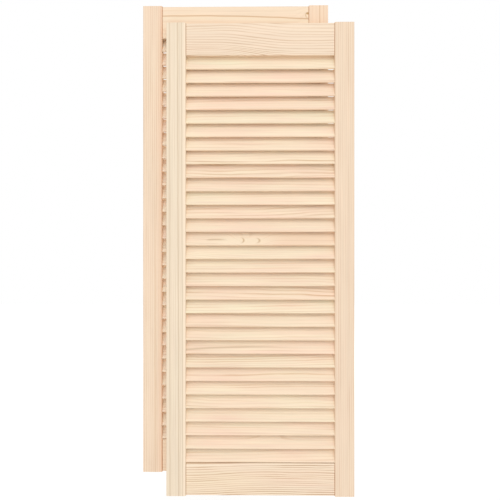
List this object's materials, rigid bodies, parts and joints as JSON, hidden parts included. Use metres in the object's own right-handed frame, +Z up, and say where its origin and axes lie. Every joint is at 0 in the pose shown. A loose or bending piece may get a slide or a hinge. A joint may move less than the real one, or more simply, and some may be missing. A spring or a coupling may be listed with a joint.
{
  "type": "pair of louvred cabinet doors",
  "caption": "Pair of unfinished pine louvred cabinet door leaves: stile-and-rail frames with fixed downward-sloping slats that screen a cupboard and let air through.",
  "frame": {"origin": "middle of the front leaf's hinge edge, halfway up and halfway through its thickness", "axes": "+X out of the front leaf's hinge edge, across the width; +Y from the front face to the back; +Z up"},
  "size_m": [0.4465, 0.0385, 1.036],
  "materials": {
    "pine_frame": "planed, unfinished pine",
    "pine_slats": "planed, unfinished pine",
    "dowel_wood": "turned beech"
  },
  "bodies": {
    "root": {"front_left_stile": "pine_frame", "front_right_stile": "pine_frame", "front_top_rail": "pine_frame", "front_bottom_rail": "pine_frame", "front_dowels": "dowel_wood", "rear_left_stile": "pine_frame", "rear_right_stile": "pine_frame", "rear_top_rail": "pine_frame", "rear_bottom_rail": "pine_frame", "rear_dowels": "dowel_wood", "front_slat_01": "pine_slats", "front_slat_02": "pine_slats", "front_slat_03": "pine_slats", "front_slat_04": "pine_slats", "front_slat_05": "pine_slats", "front_slat_06": "pine_slats", "front_slat_07": "pine_slats", "front_slat_08": "pine_slats", "front_slat_09": "pine_slats", "front_slat_10": "pine_slats", "front_slat_11": "pine_slats", "front_slat_12": "pine_slats", "front_slat_13": "pine_slats", "front_slat_14": "pine_slats", "front_slat_15": "pine_slats", "front_slat_16": "pine_slats", "front_slat_17": "pine_slats", "front_slat_18": "pine_slats", "front_slat_19": "pine_slats", "front_slat_20": "pine_slats", "front_slat_21": "pine_slats", "front_slat_22": "pine_slats", "front_slat_23": "pine_slats", "front_slat_24": "pine_slats", "front_slat_25": "pine_slats", "front_slat_26": "pine_slats", "front_slat_27": "pine_slats", "front_slat_28": "pine_slats", "front_slat_29": "pine_slats", "front_slat_30": "pine_slats", "rear_slats": "pine_slats"}
  },
  "joints": []
}
